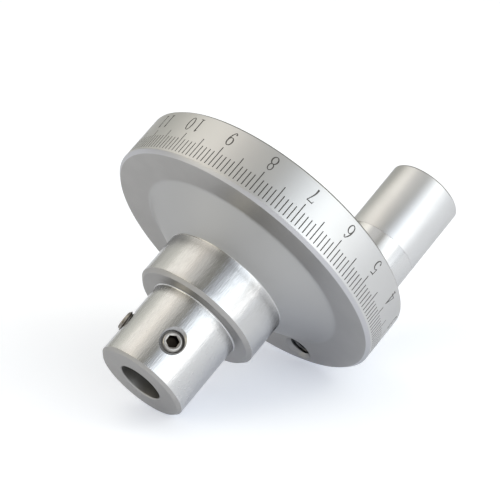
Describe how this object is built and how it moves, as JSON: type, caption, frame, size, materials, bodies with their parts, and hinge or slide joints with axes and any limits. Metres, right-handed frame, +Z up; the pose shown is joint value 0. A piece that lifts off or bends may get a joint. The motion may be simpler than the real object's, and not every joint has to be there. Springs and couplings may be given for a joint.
{
  "type": "graduated handwheel",
  "caption": "Turned aluminium handwheel with a rim graduated in numbered divisions, a stepped hub with set screws for a shaft, and a revolving cylindrical handle.",
  "frame": {"origin": "centre of the shaft bore at the end face of the nose", "axes": "+Y along the bore, out of the nose, the way the shaft leaves; -Y towards the operator, where the handle stands; +Z up, with the handle and the zero line at the bottom"},
  "size_m": [0.08, 0.1, 0.0845],
  "materials": {
    "anodised_aluminium": "clear anodised, fine turned",
    "grip_aluminium": "clear anodised, satin",
    "polished_post": "bright turned and polished",
    "bright_steel": "bright, lightly oiled",
    "black_steel": "black oxide",
    "zinc_steel": "bright zinc plated",
    "bronze": "sintered bronze"
  },
  "bodies": {
    "wheel": {"wheel": "anodised_aluminium", "handle_post": "polished_post", "retaining_washer": "zinc_steel", "retaining_screw": "black_steel"},
    "grip": {"handle_grip": "grip_aluminium", "inner_bush": "bronze", "outer_bush": "bronze"},
    "left_screw": {"set_screw_left": "bright_steel"},
    "right_screw": {"set_screw_right": "bright_steel"}
  },
  "joints": [
    {"name": "grip_spin", "type": "hinge", "parent": "wheel", "child": "grip", "pos_m": [0, -0.0893, -0.034], "axis": [0, 1, 0], "continuous": true},
    {"name": "left_screw_travel", "type": "slide", "parent": "wheel", "child": "left_screw", "axis": [0.7431, 0, -0.6691], "range_m": [-0.0032, 0.00075]},
    {"name": "right_screw_travel", "type": "slide", "parent": "wheel", "child": "right_screw", "axis": [-0.6691, 0, -0.7431], "range_m": [-0.0016, 0.00235]}
  ]
}
